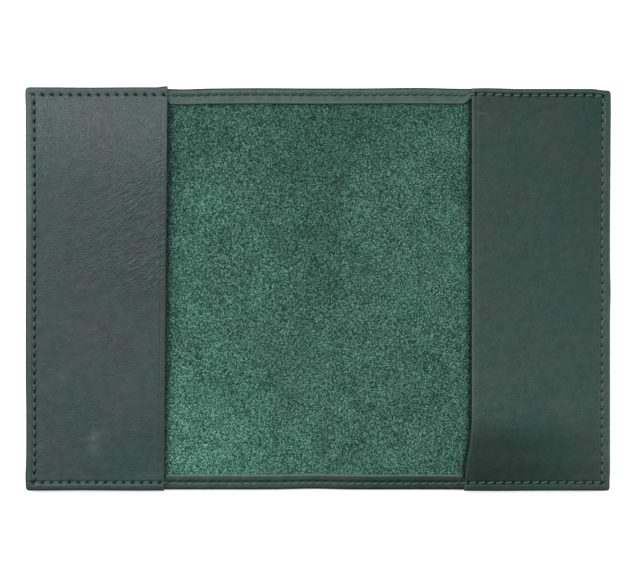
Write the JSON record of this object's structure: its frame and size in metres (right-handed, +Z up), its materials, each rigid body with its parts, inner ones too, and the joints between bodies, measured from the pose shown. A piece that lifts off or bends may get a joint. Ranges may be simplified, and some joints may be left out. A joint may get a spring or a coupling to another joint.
{
  "type": "pocket notebook cover",
  "caption": "Slip-on leather cover for a pocket notebook, open flat: smooth outside, suede inside, turned hems, a sewn pocket at each end and a spine that folds shut.",
  "frame": {"origin": "on the surface that the cover lies on, under the middle of the spine", "axes": "+X from the front cover towards the back cover, +Y towards the head, +Z up out of the open inside"},
  "size_m": [0.2, 0.1376, 0.0037],
  "materials": {
    "hide": "suede on the inside, smooth satin grain on the outside, dark green",
    "pocket_leather": "smooth satin full grain, grey green, with faint creases",
    "hem_leather": "smooth satin grain, grey green",
    "thread": "twisted polyester, dark green"
  },
  "bodies": {
    "back_cover": {"back_cover_panel": "hide", "back_pocket": "pocket_leather", "back_head_hem": "hem_leather", "back_tail_hem": "hem_leather", "back_fore_edge_hem": "hem_leather", "back_head_needle_thread": "thread", "back_tail_needle_thread": "thread", "back_fore_edge_needle_thread": "thread", "back_head_bobbin_thread": "thread", "back_tail_bobbin_thread": "thread", "back_fore_edge_bobbin_thread": "thread"},
    "spine": {"spine_panel": "hide", "spine_head_hem": "hem_leather", "spine_tail_hem": "hem_leather", "spine_head_needle_thread": "thread", "spine_tail_needle_thread": "thread", "spine_head_bobbin_thread": "thread", "spine_tail_bobbin_thread": "thread"},
    "front_cover": {"front_cover_panel": "hide", "front_pocket": "pocket_leather", "front_head_hem": "hem_leather", "front_tail_hem": "hem_leather", "front_fore_edge_hem": "hem_leather", "front_head_needle_thread": "thread", "front_tail_needle_thread": "thread", "front_fore_edge_needle_thread": "thread", "front_head_bobbin_thread": "thread", "front_tail_bobbin_thread": "thread", "front_fore_edge_bobbin_thread": "thread"}
  },
  "joints": [
    {"name": "back_fold", "type": "hinge", "parent": "back_cover", "child": "spine", "pos_m": [0.003, 0, 0.0026], "axis": [0, 1, 0], "range_deg": [0, 90]},
    {"name": "front_fold", "type": "hinge", "parent": "spine", "child": "front_cover", "pos_m": [-0.003, 0, 0.0026], "axis": [0, 1, 0], "range_deg": [0, 90]}
  ]
}
